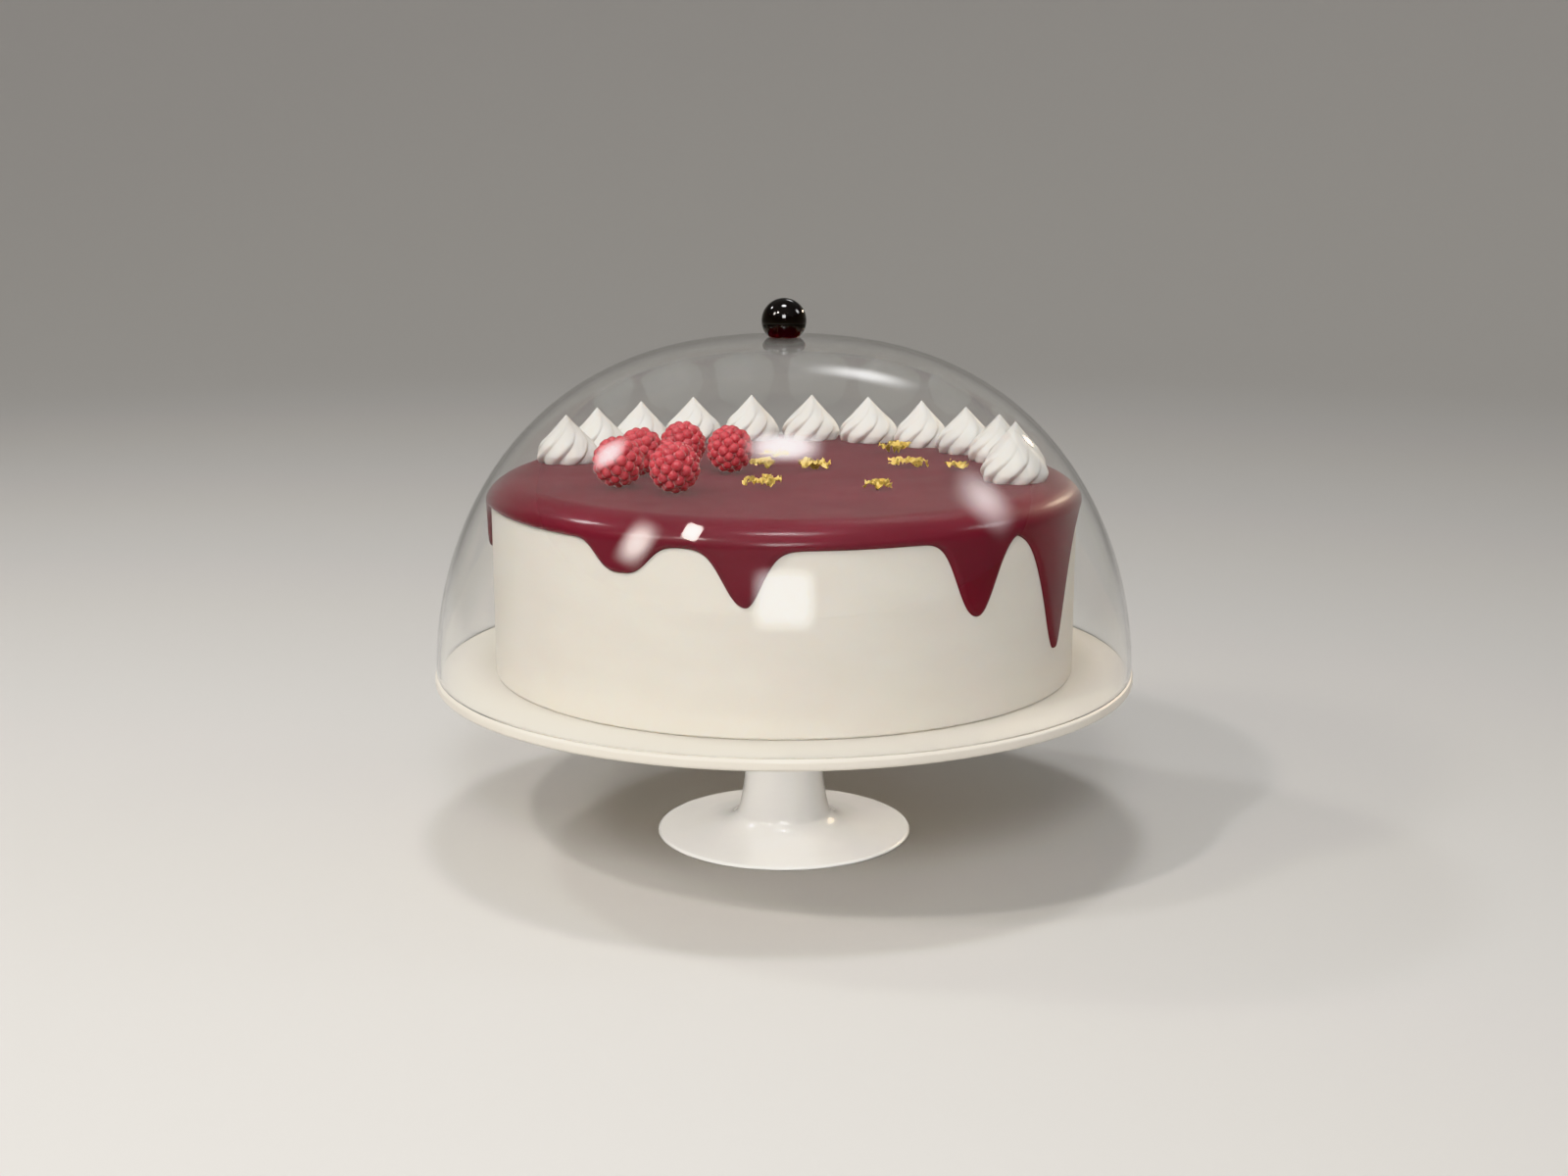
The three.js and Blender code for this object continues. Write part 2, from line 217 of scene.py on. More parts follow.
def turned(outline, steps):
    """A closed shape turned about +Z from (radius, height) points in millimetres."""
    shape = bmesh.new()
    ring = [shape.verts.new((radius * MM, 0, height * MM)) for radius, height in outline]
    edges = [shape.edges.new(pair) for pair in zip(ring, ring[1:])]
    bmesh.ops.spin(
        shape, geom=ring + edges, cent=(0, 0, 0), axis=(0, 0, 1), angle=math.tau, steps=steps,
        use_merge=True,
    )
    bmesh.ops.remove_doubles(shape, verts=shape.verts, dist=1e-7)
    bmesh.ops.recalc_face_normals(shape, faces=shape.faces)
    return shape


def reshaped(shape, place):
    """Moves every vertex to where place(point) puts it. Points are in millimetres."""
    for vertex in shape.verts:
        vertex.co = place(vertex.co / MM) * MM
    shape.normal_update()
    return shape


def made_of(name, shape, material, smooth=True):
    """An object with this shape and material. It uses the shape up."""
    mesh = bpy.data.meshes.new(name)
    for face in shape.faces:
        face.smooth = smooth
    shape.to_mesh(mesh)
    shape.free()
    mesh.materials.append(material)
    made = bpy.data.objects.new(name, mesh)
    bpy.context.scene.collection.objects.link(made)
    return made


def piece(name, shape, material, slot, *replaced, smooth=True, mirrored=True):
    """Makes the shape a piece that rides on the cake's one body and stands for the replaced nodes.

    The photograph shows no mirror images of the food in the glass or the glaze, so food isn't mirrored.
    """
    made = made_of(name, shape, material, smooth)
    made.visible_glossy = mirrored
    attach(made, "root")
    if replaced:
        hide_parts(*replaced)
    return made


# ---------------------------------------------------------------- materials


NOISE_LOW, NOISE_HIGH = 0.3, 0.7  # nearly all of the noise lies between these


def shader_of(material):
    return material.node_tree.nodes["Principled BSDF"]


def new_material(name, **finish):
    """A material whose shader has these values. Underscores stand for the spaces in a socket's name."""
    material = bpy.data.materials.new(name)
    material.use_nodes = True
    for socket, value in finish.items():
        shader_of(material).inputs[socket.replace("_", " ")].default_value = value
    return material


def noise_in(material, size, detail=3, stretch=(1, 1, 1)):
    """Noise with patches of about this size in millimetres, on the object's own coordinates."""
    nodes, links = material.node_tree.nodes, material.node_tree.links
    where = nodes.new("ShaderNodeTexCoord")
    mapping = nodes.new("ShaderNodeMapping")
    mapping.inputs["Scale"].default_value = stretch
    pattern = nodes.new("ShaderNodeTexNoise")
    pattern.inputs["Scale"].default_value = 1 / (size * MM)
    pattern.inputs["Detail"].default_value = detail
    links.new(where.outputs["Object"], mapping.inputs["Vector"])
    links.new(mapping.outputs["Vector"], pattern.inputs["Vector"])
    return pattern.outputs["Fac"]


def ramp_in(material, fac, stops):
    """A colour ramp with (place, colour) stops."""
    ramp = material.node_tree.nodes.new("ShaderNodeValToRGB")
    elements = ramp.color_ramp.elements
    while len(elements) < len(stops):
        elements.new(0.5)
    for element, (place, color) in zip(elements, stops):
        element.position = place
        element.color = (*color, 1)
    material.node_tree.links.new(fac, ramp.inputs["Fac"])
    return ramp.outputs["Color"]


def color_varies(material, size, low, high, **pattern):
    """Colour that drifts between two tones."""
    stops = [(NOISE_LOW, low), (NOISE_HIGH, high)]
    color = ramp_in(material, noise_in(material, size, **pattern), stops)
    material.node_tree.links.new(color, shader_of(material).inputs["Base Color"])


def roughness_varies(material, size, low, high, **pattern):
    """Roughness that drifts between two values."""
    nodes, links = material.node_tree.nodes, material.node_tree.links
    spread = nodes.new("ShaderNodeMapRange")
    spread.inputs["From Min"].default_value = NOISE_LOW
    spread.inputs["From Max"].default_value = NOISE_HIGH
    spread.inputs["To Min"].default_value = low
    spread.inputs["To Max"].default_value = high
    links.new(noise_in(material, size, **pattern), spread.inputs["Value"])
    links.new(spread.outputs["Result"], shader_of(material).inputs["Roughness"])


def uneven(material, size, depth, under=None, **pattern):
    """Low relief: bumps of about this size and depth in millimetres, over another relief if given."""
    nodes, links = material.node_tree.nodes, material.node_tree.links
    bump = nodes.new("ShaderNodeBump")
    bump.inputs["Distance"].default_value = depth * MM
    links.new(noise_in(material, size, **pattern), bump.inputs["Height"])
    if under is not None:
        links.new(under, bump.inputs["Normal"])
    links.new(bump.outputs["Normal"], shader_of(material).inputs["Normal"])
    return bump.outputs["Normal"]


def plate_ceramic():
    """Cream-white satin ceramic, very slightly mottled by its firing."""
    material = new_material("plate_ceramic", IOR=1.5, Coat_Weight=0.25, Coat_Roughness=0.18)
    color_varies(material, 55, (0.75, 0.7, 0.625), (0.785, 0.74, 0.665), detail=4)
    roughness_varies(material, 30, 0.3, 0.38)
    uneven(material, 2.2, 0.012, detail=2)
    return material


def pedestal_ceramic():
    """The same clay under a glossier, whiter glaze."""
    material = new_material("pedestal_ceramic", IOR=1.5, Coat_Weight=0.9, Coat_Roughness=0.16)
    color_varies(material, 40, (0.785, 0.775, 0.755), (0.82, 0.81, 0.79), detail=4)
    roughness_varies(material, 20, 0.16, 0.24)
    uneven(material, 2.5, 0.012, detail=2)
    return material


def smooth_frosting():
    """Buttercream smoothed with a blade: faint level streaks and a soft, waxy depth."""
    material = new_material(
        "frosting", IOR=1.45, Subsurface_Weight=0.35, Subsurface_Radius=(1.0, 0.8, 0.6),
        Subsurface_Scale=0.003,
    )
    color_varies(material, 26, (0.77, 0.72, 0.65), (0.8, 0.755, 0.69), detail=3, stretch=(1, 1, 2.5))
    roughness_varies(material, 12, 0.48, 0.58, stretch=(1, 1, 4))
    streaks = uneven(material, 14, 0.05, detail=1, stretch=(1, 1, 4))
    uneven(material, 0.9, 0.015, under=streaks, detail=2)
    return material


def mirror_glaze():
    """Deep berry-red glaze, poured thick and set to a soft shine."""
    material = new_material(
        "berry_glaze", IOR=1.45, Specular_IOR_Level=0.15, Coat_Weight=0.58, Coat_Roughness=0.15,
        Coat_IOR=1.45, Subsurface_Weight=0.15, Subsurface_Radius=(1.0, 0.12, 0.15),
        Subsurface_Scale=0.0012,
    )
    color_varies(material, 45, (0.122, 0.006, 0.016), (0.155, 0.009, 0.022), detail=2)
    roughness_varies(material, 25, 0.44, 0.54)
    uneven(material, 28, 0.05, detail=1)
    return material


def gold_leaf():
    """Thin crumpled gold leaf."""
    material = new_material("gold_leaf", Metallic=0.7, IOR=1.45)
    color_varies(material, 2, (0.58, 0.36, 0.06), (0.98, 0.76, 0.25), detail=3)
    roughness_varies(material, 1.2, 0.25, 0.4)
    uneven(material, 0.6, 0.04, detail=3)
    return material


def piped_cream():
    """Whipped cream, matt and slightly aerated."""
    material = new_material(
        "piped_cream", IOR=1.4, Subsurface_Weight=0.4, Subsurface_Radius=(1.0, 0.85, 0.7),
        Subsurface_Scale=0.0025,
    )
    color_varies(material, 8, (0.74, 0.715, 0.675), (0.78, 0.76, 0.725), detail=3)
    roughness_varies(material, 3, 0.5, 0.62)
    uneven(material, 0.8, 0.025, detail=3)
    return material


def berry_skin():
    """Shiny skin of a ripe red berry."""
    material = new_material(
        "berry_skin", IOR=1.42, Specular_IOR_Level=0.25, Coat_Weight=0.85, Coat_Roughness=0.15,
        Subsurface_Weight=0.4, Subsurface_Radius=(1.0, 0.25, 0.25), Subsurface_Scale=0.0014,
    )
    color_varies(material, 4, (0.47, 0.042, 0.06), (0.64, 0.075, 0.095), detail=3)
    roughness_varies(material, 1.5, 0.24, 0.34)
    uneven(material, 0.45, 0.02, detail=2)
    return material


def clear_glass():
    """Clear glass. Lamps and soft light from the room shine straight through it, so it casts no shadow."""
    material = new_material(
        "clear_glass", Base_Color=(0.985, 0.99, 0.99, 1), Roughness=0.0, IOR=1.45,
        Specular_IOR_Level=0.25, Transmission_Weight=1.0,
    )
    nodes, links = material.node_tree.nodes, material.node_tree.links
    ray = nodes.new("ShaderNodeLightPath")
    through = nodes.new("ShaderNodeBsdfTransparent")
    through.inputs["Color"].default_value = (0.97, 0.975, 0.975, 1)
    straight = nodes.new("ShaderNodeMath")
    straight.operation = "MAXIMUM"
    links.new(ray.outputs["Is Shadow Ray"], straight.inputs[0])
    links.new(ray.outputs["Is Diffuse Ray"], straight.inputs[1])
    surface = nodes.new("ShaderNodeMixShader")
    links.new(straight.outputs["Value"], surface.inputs["Fac"])
    links.new(shader_of(material).outputs["BSDF"], surface.inputs[1])
    links.new(through.outputs["BSDF"], surface.inputs[2])
    links.new(surface.outputs["Shader"], nodes["Material Output"].inputs["Surface"])
    return material


def black_knob():
    """Polished black glass."""
    material = new_material("black_knob", IOR=1.5, Coat_Weight=0.3, Coat_Roughness=0.02)
    color_varies(material, 6, (0.004, 0.0035, 0.0035), (0.008, 0.007, 0.007))
    roughness_varies(material, 6, 0.06, 0.1)
    uneven(material, 5, 0.006, detail=1)
    return material


# ---------------------------------------------------------------- stand


def make_pedestal():
    recess_radius, recess_depth = FOOT_RECESS
    rim_top = quarter_ellipse(
        FOOT_RADIUS - FOOT_ROUND, FOOT_RIM - FOOT_ROUND, FOOT_ROUND, FOOT_ROUND, steps=5,
    )
    rim_bottom = [(radius, FOOT_RIM - height) for radius, height in reversed(rim_top)]
    stem = smooth_through([rim_top[-1], *STEM_OUTLINE], steps=7)
    outline = [
        (0, recess_depth),
        (recess_radius - FOOT_RECESS_SLOPE, recess_depth),
        (recess_radius, 0),
        *rim_bottom,
        *stem,
        (0, PLATE_LOW.z),
    ]
    shape = turned(outline, steps=128)
    return piece("pedestal_finish", shape, pedestal_ceramic(), "pedestal_ceramic", "pedestal")


def make_plate():
    flat = PLATE_RADIUS - PLATE_ROUND
    upper = quarter_ellipse(flat, PLATE_TOP - PLATE_ROUND, PLATE_ROUND, PLATE_ROUND, steps=8)
    lower = [(radius, PLATE_LOW.z + PLATE_TOP - height) for radius, height in reversed(upper)]
    inward = [(flat * share, PLATE_TOP) for share in PLATE_RINGS]
    underneath = [(flat * share, PLATE_LOW.z) for share in reversed(PLATE_RINGS)]
    outline = [*underneath, *lower, *upper, *inward]
    piece("plate_finish", turned(outline, steps=256), plate_ceramic(), "plate_ceramic", "plate")


# ---------------------------------------------------------------- frosting and glaze


def make_frosting():
    """The cake's smooth frosting, with the slight unevenness that the blade left."""
    width, height = FROSTING_SHOULDER
    shoulder_bottom = FROSTING_TOP - height
    bottom = PLATE_TOP + FROSTING_BOTTOM_ROUND
    rounding = FROSTING_BOTTOM_ROUND
    foot = quarter_ellipse(FROSTING_RADIUS - rounding, bottom, rounding, rounding, steps=6)
    foot = [(radius, 2 * bottom - level) for radius, level in reversed(foot)]
    side = [(FROSTING_RADIUS, mix(bottom, shoulder_bottom, i / FROSTING_ROWS))
            for i in range(1, FROSTING_ROWS)]
    shoulder = quarter_ellipse(FROSTING_RADIUS - width, shoulder_bottom, width, height, steps=12)
    outline = [(0, PLATE_TOP), *foot, *side, *shoulder, (0, FROSTING_TOP)]

    def trowelled(point):
        reach = math.hypot(point.x, point.y)
        if reach < FROSTING_RADIUS - width or point.z < bottom:
            return point
        wave = noise.noise(Vector([at / size for at, size in zip(point, TROWEL_WAVE)]))
        return Vector((*(point.xy * (1 + (wave - 1) * TROWEL_DEPTH / reach)), point.z))

    shape = reshaped(turned(outline, steps=288), trowelled)
    piece("frosting", shape, smooth_frosting(), "frosting", "cake", mirrored=False)


def seeded_random(seed):
    """The same repeatable random numbers from 0 to 1 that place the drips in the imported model."""
    mask = 0xFFFFFFFF
    state = seed

    def draw():
        nonlocal state
        state = (state + 0x6D2B79F5) & mask
        t = ((state ^ (state >> 15)) * (1 | state)) & mask
        t = ((t + (((t ^ (t >> 7)) * (61 | t)) & mask)) & mask) ^ t
        return (t ^ (t >> 14)) / 4294967296

    return draw


def back_drips():
    """The drips that the photograph doesn't show."""
    draw = seeded_random(DRIP_SEED)
    rule = BACK_DRIPS
    drips = []
    for i in range(rule["count"]):
        azimuth = mix(rule["from"], rule["to"], i / (rule["count"] - 1)) + rule["shift"] * (2 * draw() - 1)
        drop = mix(*rule["drop"], draw())
        left = (mix(*rule["fade"], draw()), BACK_DRIP_POWER)
        right = (mix(*rule["fade"], draw()), BACK_DRIP_POWER)
        drips.append((azimuth, drop, left, right))
    return drips


DRIPS = FRONT_DRIPS + back_drips()


def offset_from(tip, azimuth):
    """Angle from a drip's tip to an azimuth, from -180 to 180."""
    return (azimuth - tip + 540) % 360 - 180


def drop_at(azimuth):
    """How far the glaze hangs below its plain edge at an azimuth."""
    total = 0
    for tip, drop, left, right in DRIPS:
        offset = offset_from(tip, azimuth)
        fade, power = left if offset < 0 else right
        away = math.hypot(offset, TIP_ROUNDING) ** power - TIP_ROUNDING ** power
        total += (drop * math.exp(-away / fade ** power)) ** DRIP_BLEND
    return total ** (1 / DRIP_BLEND)


def crowded_azimuths(count):
    """So many azimuths round the cake, closer together where the drips have their tips."""
    total = 0
    reached = [0]
    for i in range(360 * CROWD_STEPS):
        total += 1
        for drip in DRIPS:
            offset = offset_from(drip[0], i / CROWD_STEPS)
            total += sum(extra * math.exp(-(offset / width) ** 2) for extra, width in CROWDING)
        reached.append(total)
    azimuths = []
    place = 0
    for column in range(count):
        wanted = total * column / count
        while reached[place + 1] < wanted:
            place += 1
        share = (wanted - reached[place]) / (reached[place + 1] - reached[place])
        azimuths.append((place + share) / CROWD_STEPS)
    return azimuths


class GlazePath:
    """The way down over the shoulder and the side, by distance from where the flat top ends."""

    def __init__(self):
        flat = GLAZE_RADIUS - GLAZE_SHOULDER[0]
        bottom = GLAZE_TOP - GLAZE_SHOULDER[1]
        shoulder = quarter_ellipse(flat, bottom, *GLAZE_SHOULDER, PATH_STEPS)
        curve = [Vector(place) for place in reversed(shoulder)]
        self.reached = [0]
        for before, after in zip(curve, curve[1:]):
            self.reached.append(self.reached[-1] + (after - before).length)
        self.shoulder = self.reached[-1]
        self.bottom = bottom

    def length_to(self, height):
        """Distance along the path to a height on the upright side."""
        return self.shoulder + self.bottom - height

    def angle_at(self, distance):
        """Angle on the shoulder, from 90 degrees at the top to 0 at its foot."""
        low, high = 0, PATH_STEPS
        while high - low > 1:
            middle = (low + high) // 2
            low, high = (middle, high) if self.reached[middle] <= distance else (low, middle)
        share = (distance - self.reached[low]) / (self.reached[high] - self.reached[low])
        return math.pi / 2 * (1 - (low + share) / PATH_STEPS)

    def point(self, distance, cover):
        """(radius, height) on the frosting, cover 0, on the glaze's outside, cover 1, or between."""
        inner_width, inner_height = FROSTING_SHOULDER
        outer_width, outer_height = GLAZE_SHOULDER
        if distance < self.shoulder:
            angle = self.angle_at(distance)
            inner = Vector((FROSTING_RADIUS - inner_width * (1 - math.cos(angle)),
                            FROSTING_TOP - inner_height * (1 - math.sin(angle))))
            outer = Vector((GLAZE_RADIUS - outer_width * (1 - math.cos(angle)),
                            GLAZE_TOP - outer_height * (1 - math.sin(angle))))
        else:
            height = self.bottom - (distance - self.shoulder)
            inner = Vector((FROSTING_RADIUS, height))
            outer = Vector((GLAZE_RADIUS, height))
        return inner.lerp(outer, cover)


def glaze_rows(path, edge_distance, slope):
    """Distances down the path for one column, from the end of the flat top to the drip's edge."""
    stretch = math.sqrt(1 + slope ** 2)
    bead = min(GLAZE_BEAD * stretch, BEAD_SHARE * edge_distance)
    bead_start = edge_distance - bead
    shoulder_end = min(path.shoulder, SHOULDER_SHARE * bead_start)
    rows = [shoulder_end * i / SHOULDER_ROWS for i in range(SHOULDER_ROWS)]
    rows += [mix(shoulder_end, bead_start, i / SIDE_ROWS) for i in range(SIDE_ROWS)]
    return rows + [edge_distance - bead * share for share in BEAD_ROWS]


def glaze_shape():
    """A sheet of rows and columns, wrapped over the frosting down to the drips' edge and back inside."""
    path = GlazePath()
    azimuths = crowded_azimuths(GLAZE_COLUMNS)
    around = GLAZE_RADIUS * math.pi / 180

    def edge_at(azimuth):
        return path.length_to(GLAZE_EDGE - drop_at(azimuth))

    samples = 360 * EDGE_SAMPLES
    edge = KDTree(samples)
    for i in range(samples):
        azimuth = i / EDGE_SAMPLES
        edge.insert((azimuth * around, edge_at(azimuth), 0), i)
    edge.balance()

    columns = []
    step = 1 / EDGE_SAMPLES
    for azimuth in azimuths:
        slope = (edge_at(azimuth + step) - edge_at(azimuth - step)) / (2 * step * around)
        columns.append(glaze_rows(path, edge_at(azimuth), slope))

    last = len(TOP_ROWS) + len(columns[0]) - 1
    lines = 2 * last + 1
    shape = bmesh.new()
    bmesh.ops.create_grid(shape, x_segments=GLAZE_COLUMNS, y_segments=lines, size=0.5 * MM)

    def laid(point):
        line = round((point.y + 0.5) * lines)
        outside = line <= last
        row = line if outside else lines - line
        column = round((point.x + 0.5) * GLAZE_COLUMNS) % GLAZE_COLUMNS
        azimuth = azimuths[column]
        if row < len(TOP_ROWS):
            reach = TOP_ROWS[row] * (GLAZE_RADIUS - GLAZE_SHOULDER[0])
            height = GLAZE_TOP if outside else FROSTING_TOP - GLAZE_SUNK
        else:
            distance = columns[column][row - len(TOP_ROWS)]
            if not outside:
                cover = -GLAZE_SUNK / (GLAZE_RADIUS - FROSTING_RADIUS)
            elif row == last:
                cover = 0
            else:
                away = edge.find((azimuth % 360 * around, distance, 0))[2]
                inwards = min(1, away / GLAZE_BEAD)
                cover = math.sqrt(1 - (1 - inwards) ** 2)
            reach, height = path.point(distance, cover)
        turn = math.radians(azimuth)
        return Vector((reach * math.cos(turn), reach * math.sin(turn), height))

    reshaped(shape, laid)
    bmesh.ops.remove_doubles(shape, verts=shape.verts, dist=1e-7)
    bmesh.ops.recalc_face_normals(shape, faces=shape.faces)
    return shape


def make_glaze():
    return piece("glaze_pour", glaze_shape(), mirror_glaze(), "glaze", "glaze", mirrored=False)


# ---------------------------------------------------------------- toppings


def swirl_blank():
    """A plain turned swirl, one millimetre in radius and height."""
    outline = [(share, rise) for rise, share in smooth_through(SWIRL_OUTLINE, steps=8)]
    return turned([(0, 0), *outline], steps=16 * SWIRL_LOBES)


def lobe_height(way):
    """How far a lobe stands out, from 0 in the groove to 1 on its crest, at a share of the way across."""
    before, after = SWIRL_FULLNESS
    if way < SWIRL_CREST:
        return math.sin(math.pi / 2 * way / SWIRL_CREST) ** before
    return math.cos(math.pi / 2 * (way - SWIRL_CREST) / (1 - SWIRL_CREST)) ** after


def swirl_shape(blank, centre, radius, height, azimuth, seed):
    """One piped swirl: a star nozzle's lobes, overlapping at the base and twisted up to a point."""
    rand = random.Random(seed)
    twist = math.radians(SWIRL_TWIST + rand.uniform(-SWIRL_TWIST_SPREAD, SWIRL_TWIST_SPREAD))
    lean = Vector([rand.uniform(-SWIRL_LEAN, SWIRL_LEAN) for _ in range(2)])
    valley = SWIRL_VALLEY * rand.uniform(*SWIRL_VALLEY_SPREAD)
    waver, wave = SWIRL_WAVER

    def piped(point):
        rise = point.z
        reach = math.hypot(point.x, point.y)
        angle = math.atan2(point.y, point.x)
        way = angle / math.tau * SWIRL_LOBES % 1
        groove = 1 - valley * (1 - rise) ** SWIRL_VALLEY_FADE * (1 - lobe_height(way))
        turn = angle + twist * rise + math.radians(azimuth)
        out = reach * groove * radius
        spot = Vector((out * math.cos(turn), out * math.sin(turn), rise * height))
        bulge = noise.noise(spot / wave + Vector((seed, 0, 0))) * min(1, out / SWIRL_STILL)
        spot.xy *= 1 + waver * bulge
        spot.xy += lean * rise ** 2
        return spot + centre

    return reshaped(blank.copy(), piped)


def make_swirls():
    cream = piped_cream()
    blank = swirl_blank()
    for i in range(SWIRL_COUNT):
        node = f"swirl_{i + 1:02d}"
        azimuth = mix(SWIRL_FIRST, SWIRL_LAST, i / (SWIRL_COUNT - 1))
        shape = swirl_shape(blank, *seat(node), azimuth, SWIRL_SEED + i)
        piece(f"piped_{node}", shape, cream, "piped_cream", node, mirrored=False)
    blank.free()


def berry_shape(centre, radius, height, seed):
    """Round beads over a rounded core, sitting on its flat base."""
    rand = random.Random(seed)
    middle = centre + Vector((0, 0, height / 2))
    across = radius - BEAD_RADIUS
    upward = height / 2 - BEAD_RADIUS
    shape = bmesh.new()
    core_size = Vector([half + BERRY_CORE for half in (across, across, upward)]) * MM
    core = Matrix.Translation(middle * MM) @ Matrix.Diagonal(core_size).to_4x4()
    bmesh.ops.create_icosphere(shape, subdivisions=3, radius=1, matrix=core)
    golden = math.pi * (3 - math.sqrt(5))
    for bead in range(BEADS):
        level = 1 - 2 * (bead + 0.5) / BEADS + rand.uniform(-BEAD_LEVEL_SPREAD, BEAD_LEVEL_SPREAD)
        ring = math.sqrt(1 - level * level)
        angle = bead * golden + rand.uniform(-BEAD_TURN_SPREAD, BEAD_TURN_SPREAD) / max(ring, BEAD_TURN_RING)
        spot = middle + Vector((
            across * ring * math.cos(angle), across * ring * math.sin(angle), upward * level,
        ))
        size = BEAD_RADIUS * rand.uniform(*BEAD_SPREAD)
        bmesh.ops.create_icosphere(
            shape, subdivisions=2, radius=size * MM, matrix=Matrix.Translation(spot * MM),
        )

    def seated(point):
        return Vector((point.x, point.y, max(point.z, centre.z)))

    return reshaped(shape, seated)


def make_berries():
    skin = berry_skin()
    for i in range(BERRY_COUNT):
        node = f"berry_{i + 1}"
        shape = berry_shape(*seat(node), BERRY_SEED + i)
        piece(f"beaded_{node}", shape, skin, "berry", node, mirrored=False)


def flake_shape(at, size, azimuth, seed):
    """A torn sheet of gold leaf that lies flat in places and is pinched up in others."""
    length, width, height = size
    shape = bmesh.new()
    bmesh.ops.create_grid(shape, x_segments=LEAF_GRID[0], y_segments=LEAF_GRID[1], size=1)
    shift = LEAF_SHIFT * seed
    reach, depth, along, across = LEAF_TEAR

    def torn(vertex):
        edge = noise.noise(Vector((vertex.co.x * along, vertex.co.y * across, 0)) + shift)
        return math.hypot(vertex.co.x, vertex.co.y) > reach + depth * edge

    def ridge(spot, offset, spread, sharpness, share):
        return share * (1 - abs(noise.noise(spot / spread + offset)) * sharpness)

    bmesh.ops.delete(shape, geom=[v for v in shape.verts if torn(v)], context="VERTS")
    loose = [v for v in shape.verts if not v.link_faces]
    bmesh.ops.delete(shape, geom=loose, context="VERTS")
    turn = Matrix.Rotation(math.radians(azimuth), 3, "Z")
    place = Vector((*at, GLAZE_TOP))
    for vertex in shape.verts:
        u, v = vertex.co.x, vertex.co.y
        flat = Vector((u * length / 2, v * width / 2, 0))
        lift = LEAF_BASE + ridge(flat, shift, *LEAF_FOLDS) + ridge(flat, shift * 2, *LEAF_CREASES)
        lift = min(LEAF_LIFT[1], max(LEAF_LIFT[0], lift + LEAF_RISE * (v + 1)))
        bend, sway = LEAF_SWAY
        aside = [noise.noise(flat / bend + shift * turn) * sway for turn in (3, 4)]
        spot = flat + Vector((*aside, lift * height))
        vertex.co = (turn @ spot + place) * MM
    shape.normal_update()
    bmesh.ops.solidify(shape, geom=shape.faces, thickness=LEAF_THICKNESS * MM)
    bmesh.ops.recalc_face_normals(shape, faces=shape.faces)
    return shape


def make_gold_leaf():
    leaf = gold_leaf()
    for i, (at, size, azimuth) in enumerate(FLAKES):
        shape = flake_shape(at, size, azimuth, i + 1)
        piece(f"gold_leaf_{i + 1}", shape, leaf, "gold_leaf", smooth=False, mirrored=False)


# ---------------------------------------------------------------- cover


def bell_curve(radius, height):
    """The bell's curve from its rim to the axis."""
    curve = []
    for i in range(COVER_STEPS):
        angle = math.pi / 2 * i / COVER_STEPS
        curve.append((
            radius * math.cos(angle) ** (2 / COVER_RADIAL_POWER),
            PLATE_TOP + height * math.sin(angle) ** (2 / COVER_VERTICAL_POWER),
        ))
    return curve + [(0, PLATE_TOP + height)]


def make_cover():
    """The glass bell, with a fire-polished round rim."""
    radius = COVER_HIGH.y
    height = COVER_HIGH.z - COVER_LOW.z
    half_wall = COVER_GLASS / 2
    walls = bell_curve(radius - COVER_GLASS, height - COVER_GLASS), bell_curve(radius, height)
    inside, outside = [[place for place in wall if place[1] > PLATE_TOP + half_wall] for wall in walls]
    rim_centre = radius - half_wall
    rim = []
    for i in range(RIM_STEPS + 1):
        angle = math.pi * i / RIM_STEPS
        rim.append((rim_centre - half_wall * math.cos(angle),
                    PLATE_TOP + half_wall * (1 - math.sin(angle))))
    shape = turned([*reversed(inside), *rim, *outside], steps=192)
    return piece("cover_glass", shape, clear_glass(), "clear_glass", "dome")


def make_knob():
    """A polished ball with a small flat where it is fixed to the cover."""
    radius = KNOB_HIGH.y
    centre = KNOB_HIGH.z - radius
    start = math.asin((KNOB_LOW.z - centre) / radius)
    ball = [mix(start, math.pi / 2, i / KNOB_STEPS) for i in range(KNOB_STEPS + 1)]
    outline = [(0, KNOB_LOW.z)] + [(radius * math.cos(a), centre + radius * math.sin(a)) for a in ball]
    return piece("knob_finish", turned(outline, steps=96), black_knob(), "black_knob", "knob")


# ---------------------------------------------------------------- studio

LENS, SENSOR = 50.38, 36
CAMERA_PLACE = (0, -0.8328, 0.2819)  # metres
CAMERA_TILT = 77.54  # degrees from looking straight down
FLOOR_FLAT = 1500  # radius of the flat floor round the cake, and how far it then sweeps out and up
FLOOR_SWEEP = 1500
WHITE = (1, 1, 1)
SOFT_WHITE = (1, 0.95, 0.88)
WARM = (1, 0.8, 0.58)
ROOM_COLOR = (1, 0.985, 0.96, 1)
# How the room gets lighter upwards and towards the front: the axis, where along it the change starts and
# ends, and the brightness there. The two add up.
ROOM_LIGHT = (("Z", 0.1, 0.9, 0.1, 0.35), ("Y", 0.2, -0.8, 0, 0.2))
FOOD_LAMP_SIZE = 0.8  # share of the softbox's size
UNDER_PLATE_SHARE = 0.77  # radiance of the lamps for the pedestal, as a share of those for the food
WARM_SPREAD = 5  # the warm lamp's highlight on the foot is a wide one

